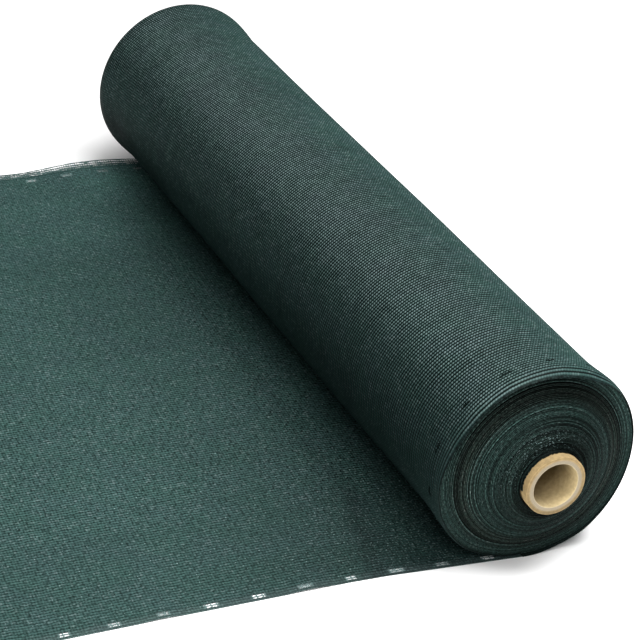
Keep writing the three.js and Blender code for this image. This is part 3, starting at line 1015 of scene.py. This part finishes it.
class NETTING_OT_loose_cloth(bpy.types.Operator):
    """Build the unrolled length"""

    bl_idname = "netting.loose_cloth"
    bl_label = "Loose cloth"

    def execute(self, context):
        sizes, _ = settings()
        points, uv, depth = loose_cloth(sizes)
        mesh = netting_piece("loose_cloth", points, uv, "loose_end")
        x, y, across = uv[..., 0] - sizes.loose_length, points[..., 1], uv[..., 1]
        # Painted light and shade over the unrolled length
        colour_attribute(mesh, "tone_with_painted_shading", sheet_painted_light_and_shade(x, y, across))
        number_attribute(mesh, "crisp", loose_crispness(x, y))
        number_attribute(mesh, "over_floor", np.ones(depth.shape))
        number_attribute(mesh, "hidden", depth > 0.5)
        return {"FINISHED"}


class NETTING_OT_outer_turn(bpy.types.Operator):
    """Build the roll's outermost turn"""

    bl_idname = "netting.outer_turn"
    bl_label = "Outer turn"

    def execute(self, context):
        sizes, _ = settings()
        points, uv, depth = outer_turn(sizes)
        mesh = netting_piece("outer_turn", points, uv, "wound_roll")
        across = uv[..., 1]
        angle = np.degrees((uv[..., 0] - sizes.loose_length - LAP_SLIP) / sizes.roll_radius) - 90
        # Painted shade on the turn's edge and underside, and painted light and shade round the roll
        painted_shade_under_edge = (depth > 0.05) & (across < 0.5)
        crisper, softer = turn_crispness(angle, across)
        colour_attribute(mesh, "tone_with_painted_shading", np.where(painted_shade_under_edge, UNDER_EDGE_SHADE, roll_tone_and_painted_light(angle, across)))
        number_attribute(mesh, "crisp", crisper - softer)
        number_attribute(mesh, "gleam", bell(angle, 122, 29))
        number_attribute(mesh, "hidden", depth > 0.5)
        return {"FINISHED"}


class NETTING_OT_wound_turns(bpy.types.Operator):
    """Build the turns under the outermost one"""

    bl_idname = "netting.wound_turns"
    bl_label = "Wound turns"

    def execute(self, context):
        sizes, _ = settings()
        points, uv, wound, share = inner_turns(sizes)
        mesh = netting_piece("wound_turns", points, uv, "wound_roll")
        # The end face's tones, with painted light round it
        colour_attribute(mesh, "tone_with_painted_shading", end_face_tone_and_painted_light(wound, share))
        number_attribute(mesh, "fuzz", turns_fuzz(wound, share))
        return {"FINISHED"}


class NETTING_OT_core(bpy.types.Operator):
    """Build the cardboard core"""

    bl_idname = "netting.core"
    bl_label = "Core"

    def execute(self, context):
        sizes, colours = settings()
        mesh = ring_mesh(core_shape(sizes), "core")
        core = shown("core", mesh, cardboard_material(sizes, colours))
        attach(core, "root")
        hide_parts("core_tube")
        return {"FINISHED"}


class NETTING_OT_stage(bpy.types.Operator):
    """Build the floor, the soft lights and the camera"""

    bl_idname = "netting.stage"
    bl_label = "Stage"

    def execute(self, context):
        _, colours = settings()
        add_floor(colours.floor)
        add_world()
        for light in LIGHTS:
            area_light(*light)
        add_camera()
        context.scene.view_settings.view_transform = "Standard"
        return {"FINISHED"}


class NETTING_PT_sidebar(bpy.types.Panel):
    """The pieces in the 3D view's sidebar"""

    bl_label = "Netting roll"
    bl_space_type = "VIEW_3D"
    bl_region_type = "UI"
    bl_category = "Netting"

    def draw(self, context):
        for operator in OPERATORS:
            self.layout.operator(operator.bl_idname)
        for group in (context.scene.netting_sizes, context.scene.netting_colours):
            for key in type(group).__annotations__:
                self.layout.prop(group, key)


OPERATORS = (
    NETTING_OT_stage,
    NETTING_OT_core,
    NETTING_OT_wound_turns,
    NETTING_OT_outer_turn,
    NETTING_OT_loose_cloth,
)
CLASSES = (NettingSizes, NettingColours, *OPERATORS, NETTING_PT_sidebar)


def register():
    for cls in CLASSES:
        bpy.utils.register_class(cls)
    bpy.types.Scene.netting_sizes = PointerProperty(type=NettingSizes)
    bpy.types.Scene.netting_colours = PointerProperty(type=NettingColours)


def unregister():
    del bpy.types.Scene.netting_colours
    del bpy.types.Scene.netting_sizes
    for cls in reversed(CLASSES):
        bpy.utils.unregister_class(cls)


def main():
    """Builds everything."""
    register()
    bpy.ops.netting.stage()
    bpy.ops.netting.core()
    bpy.ops.netting.wound_turns()
    bpy.ops.netting.outer_turn()
    bpy.ops.netting.loose_cloth()


if __name__ == "__main__":
    main()
